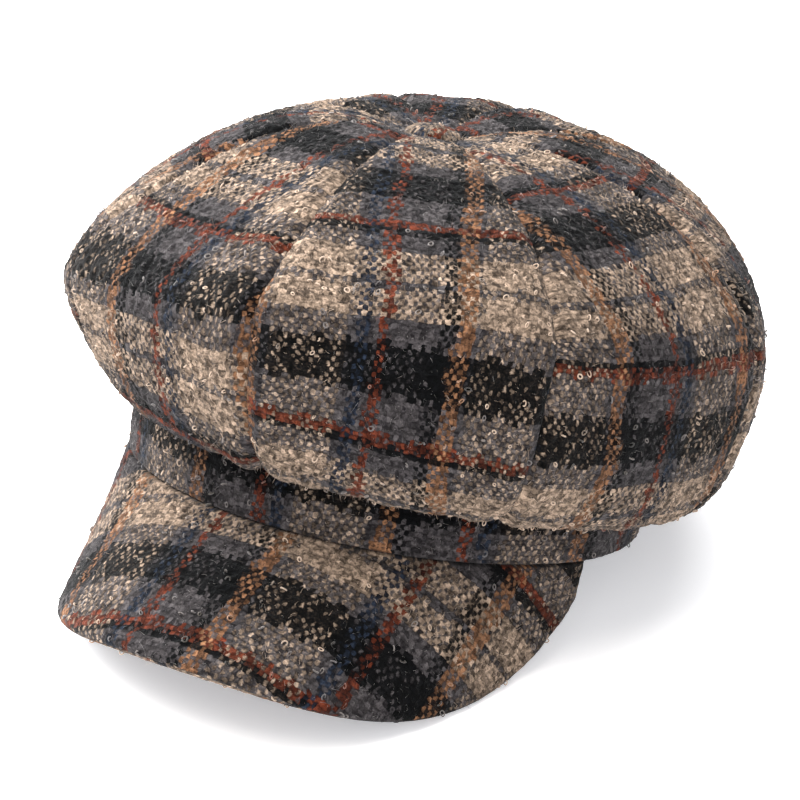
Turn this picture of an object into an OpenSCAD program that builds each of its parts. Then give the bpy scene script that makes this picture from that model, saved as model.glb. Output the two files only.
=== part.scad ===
// Newsboy cap: an eight-panel tweed crown over a headband, with a curved soft visor.
// The cap stands front up, on the two lower corners of its visor and the back of its headband.
// -Y is the front, +X is the wearer's left, +Z is up and the ground is at Z = 0.
// Headband coordinates, used inside the modules: Z = 0 is the headband's lower edge.

/* [Headband] */
// Half the outside width of the headband, ear to ear
band_half_w = 93; // [90:0.5:96]
// Half the outside length of the headband, front to back
band_half_l = 97.5; // [94:0.5:101]
// Height of the tweed headband
band_h = 19; // [16:0.5:21]
// Height of the sweatband inside it
sweatband_h = 23; // [18:0.5:23.5]
// Half the arc that the elastic covers at the back, in degrees
elastic_arc = 35; // [20:1:60]
// Height of the elastic
elastic_h = 12; // [8:1:14]

/* [Crown] */
// Half the width of the crown at its widest line
crown_half_w = 126.5; // [122:0.5:132]
// Half the length of the crown at its widest line
crown_half_l = 137; // [132:0.5:142]
// How far the widest line sits behind the headband's middle
crown_back = 3.5; // [0:0.5:8]
// Height of the widest line over the headband's lower edge
crown_wide_z = 57.5; // [54:0.5:62]
// Height of the top centre over the headband's lower edge
crown_top_z = 132.5; // [124:0.5:140]
// How flat the panels are between their seams, from round (0) to a straight chord (1)
panel_flat = 0.28; // [0:0.02:0.5]
// Where the top centre lies: to the wearer's left, and behind the middle
top_centre = [-3.5, -7.5]; // [-10:0.5:10]

/* [Slump] */
// Rise of the widest line for each mm to the wearer's left, and for each mm forwards
wide_rise = [0.074, 0.139]; // [0:0.001:0.15]
// Flatness of the top near its centre: mean, more at the left side, more at the front
top_flat = [0.40, -0.07, -0.04]; // [-0.5:0.01:0.5]
// Fullness above the widest line: mean, more at the left side, more at the front
shoulder = [0.68, 0.11, -0.41]; // [-0.5:0.01:0.7]
// Fullness below the widest line: mean, more at the left side, more at the front
belly = [0.52, 0.34, 0]; // [-0.35:0.01:0.52]
// How far out the fold over the headband is: mean, more at the left side, more at the front
fold = [0.36, 0.22, 0.20]; // [-0.25:0.01:0.4]
// How far the fold hangs below its seam, in mm: mean, more at the left side, more at the front
sag = [4.8, 7.4, -2.2]; // [-3:0.1:8]
// How far the top centre is dimpled, as a share of the crown's depth
dimple = 0.144; // [0:0.002:0.2]

/* [Visor] */
// Length of the visor at its middle
visor_reach = 66.5; // [60:0.5:72]
// Length of the visor at its two ends
visor_end_reach = 12.5; // [8:0.5:16]
// Half the arc of headband that the visor is sewn to, in degrees
visor_arc = 75; // [68:1:78]
// Slope of the visor at its middle, below the headband's plane, in degrees
visor_slope = 30.5; // [26:0.5:34]
// Further slope at its ends, in degrees
visor_droop = 52; // [46:0.5:56]
// Squareness of its front corners: 2 is round, 6 is square
visor_corner = 4.6; // [3:0.1:6]

/* [Cloth] */
// Thickness of the tweed
tweed_t = 2.2; // [1.6:0.1:2.6]
// Thickness of the lining
lining_t = 0.6; // [0.4:0.1:0.8]
// Thickness of the sweatband, and of the interlining and elastic behind it
ribbon_t = 1; // [0.8:0.1:1.2]
// Thickness of the visor's padding
padding_t = 0.9; // [0.6:0.1:1.2]
// Thickness of the visor's board
board_t = 1.5; // [1:0.1:2]
// Radius of the covered button
button_r = 10; // [8:0.5:12]
// Height of the covered button
button_h = 4.4; // [4:0.2:6]

/* [Hidden] */
panels = 8;
panel_arc = 360 / panels;
// half a degree-fraction of room at each seam, so that neighbouring panels meet but don't overlap
seam_room = 0.04;
panel_cols = 8;
lining_cols = 5;
// rows of points from the top centre (0) over the widest line (1) to the headband (2)
crown_rows = [0.05, 0.16, 0.27, 0.38, 0.49, 0.6, 0.7, 0.79, 0.87, 0.94,
    1, 1.07, 1.15, 1.25, 1.37, 1.5, 1.63, 1.76, 1.88, 2];
lining_rows = [0.05, 0.22, 0.39, 0.56, 0.72, 0.86, 1, 1.15, 1.35, 1.6, 1.8, 2];
// an inset lists: in from the crown's surface, in from the headband's face, seam height, slump share
clear = 0.15;
outer_skin = [0, -clear, band_h + clear, 1];
inner_skin = [tweed_t, -clear, band_h + clear + tweed_t, 1];
lining_gap = 6.5;
lining_seam = 3.2;
lining_out = [lining_gap, lining_seam, sweatband_h + 1.5, 0];
lining_in = [lining_gap + lining_t, lining_seam + lining_t, sweatband_h + 1.5 + lining_t, 0];
band_sides = 96;
interlining_in = tweed_t;
sweatband_in = interlining_in + ribbon_t;
ribbon_foot = 1;
arc_gap = 2;
// depths below the visor's face at which each layer starts and ends
layer_gap = 0.15;
padding_top = tweed_t + layer_gap;
board_top = padding_top + padding_t + layer_gap;
under_top = board_top + board_t + layer_gap;
visor_t = under_top + tweed_t * 0.65;
hem_inset = 0.06;
hem_rows = [0, 0.16, 0.32, 0.48, 0.64, 0.8, 1 - hem_inset, 1 - hem_inset / 3, 1];
layer_rows = [for (i = [0:6]) 0.03 + (0.89 - hem_inset / 2) * i / 6];
visor_cols = 40;
visor_taper = 0.45;
end_inset = 0.05;
step = 0.01;
core_t = 1.2;

tweed = "#6b635f";
tweed_dark = "#3b383a";
satin = "#3d3f46";
ribbon = "#2b2b2f";
felt = "#d8d2c4";
plastic = "#e6e3da";

function unit(v) = v / norm(v);
function bezier(a, b, c, d, t) =
    pow(1 - t, 3) * a + 3 * t * pow(1 - t, 2) * b + 3 * t * t * (1 - t) * c + pow(t, 3) * d;
// a value that changes round the crown: v = [mean, more at the wearer's left, more at the front]
function around(v, angle) = v[0] + v[1] * sin(angle) + v[2] * cos(angle);
// a point of the headband's oval, a distance in from its outside face
function oval(angle, inset, z) =
    [(band_half_w - inset) * sin(angle), -(band_half_l - inset) * cos(angle), z];

// Crown: angle 0 is the centre-front seam, and angles grow towards the wearer's left.
function from_panel_middle(angle) = abs((angle % panel_arc + panel_arc) % panel_arc - panel_arc / 2);
function panel_pull(angle) =
    1 - panel_flat * (1 - cos(panel_arc / 2) / cos(from_panel_middle(angle)));
function wide_point(angle, inset) = let (
    pull = panel_pull(angle),
    x = (crown_half_w - inset) * sin(angle) * pull,
    y = -(crown_half_l - inset) * cos(angle) * pull + crown_back)
    [x, y, crown_wide_z + wide_rise[0] * x - wide_rise[1] * y];
function crown_point(angle, row, skin) = let (
    top = [top_centre[0], top_centre[1], crown_top_z - skin[0]],
    wide = wide_point(angle, skin[0]),
    seam = oval(angle, skin[1], skin[2]),
    rise = top.z - wide.z,
    top_arm = [for (i = [0:1]) top[i] + (wide[i] - top[i]) * around(top_flat, angle)],
    out = max(0.08, around(fold, angle)),
    seam_arm = seam + (wide - seam) * out)
    row < 1
    ? bezier(top, [top_arm[0], top_arm[1], top.z + dimple * rise],
        wide + [0, 0, around(shoulder, angle) * rise], wide, row)
    : bezier(wide, wide - [0, 0, around(belly, angle) * (wide.z - seam.z)],
        [seam_arm.x, seam_arm.y, seam.z - around(sag, angle) * skin[3]], seam, row - 1);

// Visor: side runs from -1 to 1, out from 0 at the headband to 1 at the front edge.
function visor_length(side) =
    visor_end_reach + (visor_reach - visor_end_reach) * (1 - pow(abs(side), visor_corner));
function visor_face(side, out) = let (slope = visor_slope + visor_droop * side * side)
    oval(side * visor_arc, 0, -clear) + visor_length(side) * out * [0, -cos(slope), -sin(slope)];
function visor_normal(side, out) = unit(cross(
    visor_face(side + step, out + step) - visor_face(side - step, out + step),
    visor_face(side, out + step) - visor_face(side, out - step)));
function visor_point(side, out, depth) = visor_face(side, out)
    + visor_normal(side, out) * depth * (1 - visor_taper * pow(abs(side), 3));

// Resting place: the headband's back edge stays down while the visor's lowest corner reaches Z = 0.
visor_rim = [for (i = [-30:30], depth = [0, visor_t]) visor_point(i / 30, 1, depth)];
rest_tilt = max([for (p = visor_rim) atan2(-p.z, band_half_l - p.y)]);
function tilted(p) = let (y = p.y - band_half_l)
    [p.x, y * cos(rest_tilt) + p.z * sin(rest_tilt), -y * sin(rest_tilt) + p.z * cos(rest_tilt)];
crown_rim = [for (a = [0:3:357], row = [0.7:0.05:1.5]) tilted(crown_point(a, row, outer_skin))];
front_y = min([for (p = visor_rim) tilted(p).y]);
back_y = max([for (p = crown_rim) p.y]);
side_x = [min([for (p = crown_rim) p.x]), max([for (p = crown_rim) p.x])];
rest_shift = [-(side_x[0] + side_x[1]) / 2, -(front_y + back_y) / 2, 0];

module at_rest() {
    translate(rest_shift)
        rotate([-rest_tilt, 0, 0])
            translate([0, -band_half_l, 0])
                children();
}

// A closed sheet between two grids of points, seen from outside with rows down and columns right.
module sheet(outside, inside) {
    rows = len(outside);
    cols = len(outside[0]);
    n = rows * cols;
    points = concat([for (row = outside) each row], [for (row = inside) each row]);
    // the outside faces and, turned over, the inside faces
    skins = [for (i = [0:rows - 2], j = [0:cols - 2]) let (a = i * cols + j, b = a + n) each [
        [a, a + 1, a + cols + 1], [a, a + cols + 1, a + cols],
        [b, b + cols + 1, b + 1], [b, b + cols, b + cols + 1]]];
    top_and_bottom = [for (j = [0:cols - 2]) let (a = j, b = n - cols + j) each [
        [a + 1, a, a + n], [a + 1, a + n, a + n + 1],
        [b, b + 1, b + n + 1], [b, b + n + 1, b + n]]];
    left_and_right = [for (i = [0:rows - 2]) let (a = i * cols, b = a + cols - 1) each [
        [a, a + cols, a + cols + n], [a, a + cols + n, a + n],
        [b + cols, b, b + n], [b + cols, b + n, b + cols + n]]];
    polyhedron(points, concat(skins, top_and_bottom, left_and_right));
}

// One panel's width of a crown surface, as rows of points
function panel_grid(number, rows, cols, skin) = let (
    start = (number - 1) * panel_arc + seam_room,
    width = panel_arc - 2 * seam_room)
    [for (row = rows) [for (j = [0:cols]) crown_point(start + width * j / cols, row, skin)]];

module crown_panel(number) {
    color(tweed)
        at_rest()
            sheet(panel_grid(number, crown_rows, panel_cols, outer_skin),
                panel_grid(number, crown_rows, panel_cols, inner_skin));
}

module lining_panel(number) {
    color(satin)
        at_rest()
            sheet(panel_grid(number, lining_rows, lining_cols, lining_out),
                panel_grid(number, lining_rows, lining_cols, lining_in));
}

// A place just over the crown's top centre, level with the headband
module at_top_centre() {
    at_rest()
        translate([top_centre[0], top_centre[1], crown_top_z + button_lift])
            children();
}
button_lift = crown_point(0, crown_rows[0], outer_skin).z - crown_top_z + 0.3;

// A dome with a flat foot
module dome(radius, height) {
    round_r = (radius * radius + height * height) / (2 * height);
    rotate_extrude($fn = 48)
        intersection() {
            translate([0, height - round_r])
                circle(round_r, $fn = 96);
            square([radius, height]);
        }
}

module button_cover() {
    color(tweed_dark)
        at_top_centre()
            difference() {
                dome(button_r, button_h);
                translate([0, 0, -clear])
                    dome(button_r - tweed_t, button_h - tweed_t);
            }
}

module button_core() {
    color(plastic)
        at_top_centre()
            dome(button_r - tweed_t - core_t / 2, button_h - tweed_t - core_t / 2);
}

// A stretch of oval hoop, from one angle to another, between two insets
module hoop_arc(inset, thick, height, from, to) {
    sides = ceil(band_sides * (to - from) / 360);
    angles = [for (i = [0:sides]) from + (to - from) * i / sides];
    outside = [for (a = angles) let (p = oval(a, inset, 0)) [p.x, p.y]];
    inside = [for (i = [sides:-1:0]) let (p = oval(angles[i], inset + thick, 0)) [p.x, p.y]];
    linear_extrude(height)
        polygon(concat(outside, inside));
}

// A closed oval hoop
module hoop(inset, thick, height) {
    angles = [for (i = [0:band_sides - 1]) 360 * i / band_sides];
    linear_extrude(height)
        difference() {
            polygon([for (a = angles) let (p = oval(a, inset, 0)) [p.x, p.y]]);
            polygon([for (a = angles) let (p = oval(a, inset + thick, 0)) [p.x, p.y]]);
        }
}

module headband() {
    color(tweed)
        at_rest()
            hoop(0, tweed_t, band_h);
}

module headband_interlining() {
    color(felt)
        at_rest()
            translate([0, 0, ribbon_foot])
                hoop_arc(interlining_in, ribbon_t, band_h - 2 * ribbon_foot,
                    elastic_arc + arc_gap - 180, 180 - elastic_arc - arc_gap);
}

module sweatband() {
    color(ribbon)
        at_rest()
            translate([0, 0, ribbon_foot])
                hoop(sweatband_in, ribbon_t, sweatband_h - ribbon_foot);
}

module back_elastic() {
    color("white")
        at_rest()
            translate([0, 0, (band_h - elastic_h) / 2])
                hoop_arc(interlining_in, ribbon_t, elastic_h, 180 - elastic_arc, 180 + elastic_arc);
}

// A visor surface, as rows of points: a depth for each row, the same all along it
function visor_grid(rows, depths, reach) =
    [for (i = [0:len(rows) - 1])
        [for (j = [0:visor_cols]) visor_point(reach * (2 * j / visor_cols - 1), rows[i], depths[i])]];
function level(rows, depth) = [for (row = rows) depth];

module visor_top_cloth() {
    // past the board the cloth turns down to meet the under cloth
    hem = [for (row = hem_rows) row > 1 - hem_inset ? under_top - layer_gap : tweed_t];
    color(tweed)
        at_rest()
            sheet(visor_grid(hem_rows, level(hem_rows, 0), 1), visor_grid(hem_rows, hem, 1));
}

module visor_layer(top, thick) {
    at_rest()
        sheet(visor_grid(layer_rows, level(layer_rows, top), 1 - end_inset),
            visor_grid(layer_rows, level(layer_rows, top + thick), 1 - end_inset));
}

module visor_padding() {
    color(felt)
        visor_layer(padding_top, padding_t);
}

module visor_board() {
    color(plastic)
        visor_layer(board_top, board_t);
}

module visor_under_cloth() {
    color(tweed)
        at_rest()
            sheet(visor_grid(hem_rows, level(hem_rows, under_top), 1),
                visor_grid(hem_rows, level(hem_rows, visor_t), 1));
}

for (i = [1:panels]) {
    crown_panel(i);
    lining_panel(i);
}
button_cover();
button_core();
headband();
headband_interlining();
sweatband();
back_elastic();
visor_top_cloth();
visor_padding();
visor_board();
visor_under_cloth();
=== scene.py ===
import math
import bpy
import numpy as np
from mathutils import Matrix, Vector


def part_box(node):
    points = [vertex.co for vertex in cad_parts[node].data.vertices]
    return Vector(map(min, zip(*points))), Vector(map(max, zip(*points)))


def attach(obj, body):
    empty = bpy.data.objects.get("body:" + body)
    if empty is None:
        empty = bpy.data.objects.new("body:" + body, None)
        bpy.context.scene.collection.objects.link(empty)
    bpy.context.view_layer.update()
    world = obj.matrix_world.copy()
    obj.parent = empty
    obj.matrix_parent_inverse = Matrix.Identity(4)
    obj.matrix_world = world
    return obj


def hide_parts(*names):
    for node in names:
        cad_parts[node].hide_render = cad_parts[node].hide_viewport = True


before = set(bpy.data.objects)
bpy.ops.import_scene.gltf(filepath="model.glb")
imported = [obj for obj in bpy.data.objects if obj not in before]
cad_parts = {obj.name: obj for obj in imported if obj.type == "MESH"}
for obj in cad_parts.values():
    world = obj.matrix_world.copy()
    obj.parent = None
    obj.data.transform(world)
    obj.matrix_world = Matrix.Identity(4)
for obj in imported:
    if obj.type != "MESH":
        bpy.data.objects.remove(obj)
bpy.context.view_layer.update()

print("frame loaded")

mm = 0.001

# the cap's own measures, in mm, level with the headband; where one has three numbers,
# they are its mean, sine and cosine parts round the cap
cap = {"bandHalfWide": 93, "bandHalfLong": 97.5, "bandHigh": 19, "clear": 0.15,
       "crownHalfWide": 126.5, "crownHalfLong": 137, "crownBack": 3.5, "wideUp": 57.5, "topUp": 132.5,
       "panelFlat": 0.28, "topCentre": (-3.5, -7.5), "wideRise": (0.074, 0.139),
       "topFlat": (0.40, -0.07, -0.04), "shoulder": (0.68, 0.11, -0.41), "belly": (0.52, 0.34, 0.0),
       "fold": (0.36, 0.22, 0.20), "sag": (4.8, 7.4, -2.2), "dimple": 0.144,
       "topSink": 6.0, "topSinkWide": 34}
gores = 8
goreArc = 2 * math.pi / gores

# the headband's box gives how far the cap lies tipped back
bandLow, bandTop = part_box("headband")
bandLong = 2 * cap["bandHalfLong"] * mm
bandTall = cap["bandHigh"] * mm
bandSpan = bandTop - bandLow
tipSine = (bandLong * bandSpan.z - bandTall * bandSpan.y) / (bandLong ** 2 - bandTall ** 2)
tip = math.asin(tipSine)
backFoot = bandTop.y - bandTall * tipSine


def placed(points):
    # from millimetres on the headband to metres on the table
    y = (points[..., 1] - cap["bandHalfLong"]) * mm
    z = points[..., 2] * mm
    return np.stack([points[..., 0] * mm, y * math.cos(tip) + z * math.sin(tip) + backFoot,
                     z * math.cos(tip) - y * math.sin(tip)], -1)


def smoothNoise(points, size, seed):
    # soft lumps about that many millimetres across, from -1 to 1
    cells = 32
    table = np.random.default_rng(seed).random((cells, cells, cells))
    scaled = points / size + 16.0 * cells
    cell = np.floor(scaled).astype(int)
    part = scaled - cell
    part = part * part * (3 - 2 * part)
    total = 0
    for corner in range(8):
        step = np.array([corner & 1, corner >> 1 & 1, corner >> 2 & 1])
        weight = np.where(step == 1, part, 1 - part).prod(-1)
        at = (cell + step) % cells
        total = total + weight * table[at[..., 0], at[..., 1], at[..., 2]]
    return total * 2 - 1


def bell(distance, width):
    return np.exp(-(distance / width) ** 2)


def along(points, axis):
    # running length down or across a grid of points
    steps = np.linalg.norm(np.diff(points, axis=axis), axis=-1)
    start = np.zeros_like(np.take(steps, [0], axis))
    return np.concatenate([start, np.cumsum(steps, axis)], axis)


def gridNormals(points, closed=False):
    down = np.gradient(points, axis=0)
    across = np.gradient(points, axis=1)
    if closed:
        wrap = points[:, 1] - points[:, -2]
        across[:, 0] = across[:, -1] = wrap / 2
    normals = np.cross(down, across)
    return normals / np.maximum(np.linalg.norm(normals, axis=-1, keepdims=True), 1e-9)


def makeObject(name, points, faces, material, uv=None, smooth=True):
    mesh = bpy.data.meshes.new(name)
    mesh.from_pydata(np.asarray(points).reshape(-1, 3), [], faces)
    mesh.update()
    if uv is not None:
        corner = np.zeros(len(mesh.loops), np.int32)
        mesh.loops.foreach_get("vertex_index", corner)
        layer = mesh.uv_layers.new(name="cloth")
        layer.data.foreach_set("uv", np.asarray(uv, np.float32).reshape(-1, 2)[corner].ravel())
    mesh.polygons.foreach_set("use_smooth", np.full(len(mesh.polygons), smooth))
    mesh.materials.append(material)
    piece = bpy.data.objects.new(name, mesh)
    bpy.context.scene.collection.objects.link(piece)
    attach(piece, "root")
    return piece


def declareSheet(grid):
    # works out its flat size from the plain shape, before puffs, gathers and pile, but keeps it nowhere
    wide, long = along(grid, 1)[:, -1].max() * mm, along(grid, 0)[-1].max() * mm


def sewnSheet(name, outer, inner, every, outerUv, material):
    # a fine outer face and a coarse inner one, joined all round into one closed sheet
    rows, cols = outer.shape[0] - 1, outer.shape[1] - 1
    a, b = inner.shape[0] - 1, inner.shape[1] - 1
    o = np.arange((rows + 1) * (cols + 1)).reshape(rows + 1, cols + 1)
    n = np.arange((a + 1) * (b + 1)).reshape(a + 1, b + 1) + o.size
    faces = np.stack([o[:-1, :-1], o[1:, :-1], o[1:, 1:], o[:-1, 1:]], -1).reshape(-1, 4).tolist()
    faces += np.stack([n[:-1, :-1], n[:-1, 1:], n[1:, 1:], n[1:, :-1]], -1).reshape(-1, 4).tolist()
    k = every
    for j in range(b):
        faces.append(o[0, j * k:(j + 1) * k + 1].tolist() + [int(n[0, j + 1]), int(n[0, j])])
        faces.append(o[-1, j * k:(j + 1) * k + 1][::-1].tolist() + [int(n[-1, j]), int(n[-1, j + 1])])
    for i in range(a):
        faces.append(o[i * k:(i + 1) * k + 1, 0][::-1].tolist() + [int(n[i, 0]), int(n[i + 1, 0])])
        faces.append(o[i * k:(i + 1) * k + 1, -1].tolist() + [int(n[i + 1, -1]), int(n[i, -1])])
    points = np.concatenate([outer.reshape(-1, 3), inner.reshape(-1, 3)])
    uv = np.concatenate([outerUv.reshape(-1, 2), outerUv[::k, ::k].reshape(-1, 2)])
    return makeObject(name, placed(points), faces, material, uv)


def toLinear(hexColour):
    values = [int(hexColour[i:i + 2], 16) / 255 for i in (1, 3, 5)]
    return [v / 12.92 if v <= 0.04045 else ((v + 0.055) / 1.055) ** 2.4 for v in values] + [1.0]


def addNode(tree, kind, inputs=(), **settings):
    node = tree.nodes.new("ShaderNode" + kind)
    for setting, value in settings.items():
        setattr(node, setting, value)
    for key, value in dict(inputs).items():
        if isinstance(value, bpy.types.NodeSocket):
            tree.links.new(value, node.inputs[key])
        else:
            node.inputs[key].default_value = value
    return node


def newMaterial(name):
    material = bpy.data.materials.new(name)
    material.use_nodes = True
    material.node_tree.nodes.clear()
    return material, material.node_tree


def finishMaterial(tree, colour, bumpHeight=None, bumpSize=0.0002, bumpStrength=1.0, **surface):
    settings = {key.replace("_", " "): value for key, value in surface.items()}
    if colour is not None:
        settings["Base Color"] = colour
    if bumpHeight is not None:
        bump = addNode(tree, "Bump", {"Height": bumpHeight, "Distance": bumpSize, "Strength": bumpStrength})
        settings["Normal"] = bump.outputs[0]
    shader = addNode(tree, "BsdfPrincipled", settings)
    addNode(tree, "OutputMaterial", {"Surface": shader.outputs[0]})


tweed = {
    "warpYarn": 1.4, "weftYarn": 1.85,          # mm from one yarn to the next
    "stray": 1.2,                               # mm that a stripe's colour strays at its edges
    "crinkle": 2.0, "ruffle": 0.8,              # mm that the yarns wander
    "nubSize": 1.9, "fuzzSize": 0.9,            # mm across the lumps of the pile
    "warpRepeat": 65.2, "weftRepeat": 80.7,     # mm of plaid
    # each stripe: where it starts in the repeat, and its yarn
    "warpStripes": [(0, "rust"), (1.8, "grey"), (16.5, "black"), (21.5, "tan"), (28, "grey"), (30, "cream"),
                    (54, "grey"), (57, "blue"), (61, "grey"), (63.4, "rust")],
    "weftStripes": [(0, "thickBlack"), (8.25, "grey"), (21.2, "thickRust"), (25.1, "thickBlack"),
                    (27.95, "grey"), (36.25, "cream"), (48.65, "grey"), (51.75, "cream"), (64.15, "grey"),
                    (72.45, "thickBlack")],
    # each yarn's darker and lighter fibres, and how thick it is spun
    "rust": ("#2a130d", "#66301f", 0.84), "grey": ("#211f21", "#4f4b4c", 0.5),
    "black": ("#030404", "#090a0c", 0.7), "thickBlack": ("#030404", "#090a0c", 1.0),
    "thickRust": ("#2a130d", "#66301f", 1.0), "tan": ("#463022", "#8c6448", 0.8),
    "cream": ("#3b322b", "#aa9481", 0.5), "blue": ("#0f131a", "#252d3b", 0.76),
}


def plaidYarns(tree, x, y):
    # the warp and weft yarns' darker and lighter colours at a place on the cloth
    found = []
    for position, repeat, stripes in ((x, tweed["warpRepeat"], tweed["warpStripes"]),
                                      (y, tweed["weftRepeat"], tweed["weftStripes"])):
        turns = addNode(tree, "Math", {0: position, 1: repeat}, operation="DIVIDE")
        share = addNode(tree, "Math", {0: turns.outputs[0]}, operation="FRACT")
        for shade in (0, 1):
            # the ramp's alpha carries the yarn's thickness
            ramp = addNode(tree, "ValToRGB", {0: share.outputs[0]})
            band = ramp.color_ramp
            band.interpolation = "CONSTANT"
            while len(band.elements) < len(stripes):
                band.elements.new(0.99)
            for element, (start, yarn) in zip(band.elements, stripes):
                element.position = start / repeat
                element.color = toLinear(tweed[yarn][shade])[:3] + [tweed[yarn][2]]
            found.append(ramp.outputs[0])
        found.append(ramp.outputs[1])
    return found


def tweedMaterial():
    # wool boucle tweed in a plain weave: matt, hairy, with the gaps between the round yarns darkened by painted
    # shade
    # its map is in mm, so a noise scale here is one over the size of its lumps in mm
    material, tree = newMaterial("woolBoucleTweed")
    cloth = addNode(tree, "UVMap", uv_map="cloth").outputs[0]
    crinkle = addNode(tree, "TexNoise", {"Vector": cloth, "Scale": 0.42, "Detail": 1.5}).outputs["Color"]
    ruffle = addNode(tree, "TexNoise", {"Vector": cloth, "Scale": 1.1, "Detail": 1.0}).outputs["Color"]
    moved = cloth
    for wander, size in ((crinkle, tweed["crinkle"]), (ruffle, tweed["ruffle"])):
        centred = addNode(tree, "VectorMath", {0: wander, 1: (-0.5, -0.5, -0.5)}, operation="ADD").outputs[0]
        moved = addNode(tree, "VectorMath", {0: centred, 1: (size, size, size), 2: moved},
                        operation="MULTIPLY_ADD").outputs[0]
    split = addNode(tree, "SeparateXYZ", {0: moved})
    centres, parts, numbers = [], [], []
    for axis, pitch in ((0, tweed["warpYarn"]), (1, tweed["weftYarn"])):
        count = addNode(tree, "Math", {0: split.outputs[axis], 1: pitch}, operation="DIVIDE").outputs[0]
        number = addNode(tree, "Math", {0: count}, operation="FLOOR").outputs[0]
        part = addNode(tree, "Math", {0: count, 1: number}, operation="SUBTRACT").outputs[0]
        middle = addNode(tree, "Math", {0: number, 1: pitch, 2: (pitch - tweed["stray"]) / 2},
                         operation="MULTIPLY_ADD").outputs[0]
        numbers.append(number)
        parts.append(addNode(tree, "Math", {0: part, 1: 0.5}, operation="SUBTRACT").outputs[0])
        centres.append(middle)
    crossing = addNode(tree, "CombineXYZ", {0: numbers[0], 1: numbers[1]}).outputs[0]
    chance = addNode(tree, "TexWhiteNoise", {0: crossing}, noise_dimensions="2D")
    chances = addNode(tree, "SeparateColor", {0: chance.outputs["Color"]})
    # stray fibres blur the edges of the stripes
    strayed = [addNode(tree, "Math", {0: chances.outputs[2], 1: tweed["stray"], 2: centre},
                       operation="MULTIPLY_ADD").outputs[0]
               for centre in centres]
    warpDark, warpLight, warpThick, weftDark, weftLight, weftThick = plaidYarns(tree, *strayed)
    summed = addNode(tree, "Math", {0: numbers[0], 1: numbers[1]}, operation="ADD").outputs[0]
    weave = addNode(tree, "Math", {0: summed, 1: 1.0}, operation="PINGPONG").outputs[0]
    # warp and weft take turns on top, but the thicker yarn of the two wins more often
    score = addNode(tree, "Math", {0: chances.outputs[0], 1: 0.9, 2: weave},
                    operation="MULTIPLY_ADD").outputs[0]
    thicker = addNode(tree, "Math", {0: weftThick, 1: warpThick}, operation="SUBTRACT").outputs[0]
    score = addNode(tree, "Math", {0: thicker, 1: 0.85, 2: score}, operation="MULTIPLY_ADD").outputs[0]
    warpOver = addNode(tree, "Math", {0: score, 1: 0.97}, operation="LESS_THAN").outputs[0]
    # fibres of each yarn run from dark to light in short flecks
    fleck = addNode(tree, "TexNoise", {"Vector": moved, "Scale": 0.9, "Detail": 3.0,
                                       "Roughness": 0.65}).outputs["Fac"]
    mixed = addNode(tree, "Math", {0: chances.outputs[1], 1: 0.44, 2: -0.22},
                    operation="MULTIPLY_ADD").outputs[0]
    lightness = addNode(tree, "Math", {0: fleck, 1: mixed}, operation="ADD").outputs[0]
    spread = addNode(tree, "MapRange", {0: lightness, 1: 0.2, 2: 0.8}).outputs[0]
    yarns = []
    for dark, light in ((warpDark, warpLight), (weftDark, weftLight)):
        yarns.append(addNode(tree, "Mix", {0: spread, 6: dark, 7: light}, data_type="RGBA").outputs[2])
    # a warp shows as a soft oval bead where it passes over, and the thicker weft fills the rest
    squares = [addNode(tree, "Math", {0: part, 1: part}, operation="MULTIPLY").outputs[0] for part in parts]
    fibre = addNode(tree, "TexNoise", {"Vector": cloth, "Scale": 2.2, "Detail": 3.0,
                                       "Roughness": 0.75}).outputs["Fac"]
    bead = warpThick
    for source, share in ((squares[0], -2.4), (thicker, -0.15), (squares[1], -1.5)):
        bead = addNode(tree, "Math", {0: source, 1: share, 2: bead}, operation="MULTIPLY_ADD").outputs[0]
    frayed = addNode(tree, "Math", {0: fibre, 1: 1.3, 2: bead}, operation="MULTIPLY_ADD").outputs[0]
    seen = addNode(tree, "MapRange", {0: frayed, 1: 0.5, 2: 1.0}, interpolation_type="SMOOTHSTEP").outputs[0]
    warpShare = addNode(tree, "Math", {0: seen, 1: warpOver}, operation="MULTIPLY").outputs[0]
    shown = addNode(tree, "Mix", {0: warpShare, 6: yarns[1], 7: yarns[0]}, data_type="RGBA").outputs[2]
    # loose fibres of both yarns lie over the weave in patches, more of the thicker yarn's
    thinner = addNode(tree, "Math", {0: thicker, 1: -0.7, 2: 0.5}, operation="MULTIPLY_ADD").outputs[0]
    blend = addNode(tree, "Mix", {0: thinner, 6: yarns[1], 7: yarns[0]}, data_type="RGBA").outputs[2]
    hazy = addNode(tree, "TexNoise", {"Vector": cloth, "Scale": 1.3, "Detail": 3.0,
                                      "Roughness": 0.8}).outputs["Fac"]
    hazeShare = addNode(tree, "MapRange", {0: hazy, 1: 0.45, 2: 0.68, 3: 0.0, 4: 0.6}).outputs[0]
    shown = addNode(tree, "Mix", {0: hazeShare, 6: shown, 7: blend}, data_type="RGBA").outputs[2]
    # the curls of the boucle stand as small rings
    cell = addNode(tree, "TexVoronoi", {"Vector": moved, "Scale": 0.5}, feature="F1").outputs["Distance"]
    ring = addNode(tree, "Math", {0: cell, 1: 0.34}, operation="SUBTRACT").outputs[0]
    ring = addNode(tree, "Math", {0: ring}, operation="ABSOLUTE").outputs[0]
    curl = addNode(tree, "MapRange", {0: ring, 1: 0.0, 2: 0.3, 3: 1.0, 4: 0.0},
                   interpolation_type="SMOOTHSTEP").outputs[0]
    roll = addNode(tree, "Math", {0: squares[1], 1: -3.0, 2: 0.8}, operation="MULTIPLY_ADD").outputs[0]
    dome = addNode(tree, "Mix", {0: warpShare, 2: roll, 3: bead}).outputs[0]
    height = addNode(tree, "Math", {0: dome, 1: 0.28}, operation="MULTIPLY").outputs[0]
    for source, share in ((curl, 0.34), (fibre, 0.75)):
        height = addNode(tree, "Math", {0: source, 1: share, 2: height}, operation="MULTIPLY_ADD").outputs[0]
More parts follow.
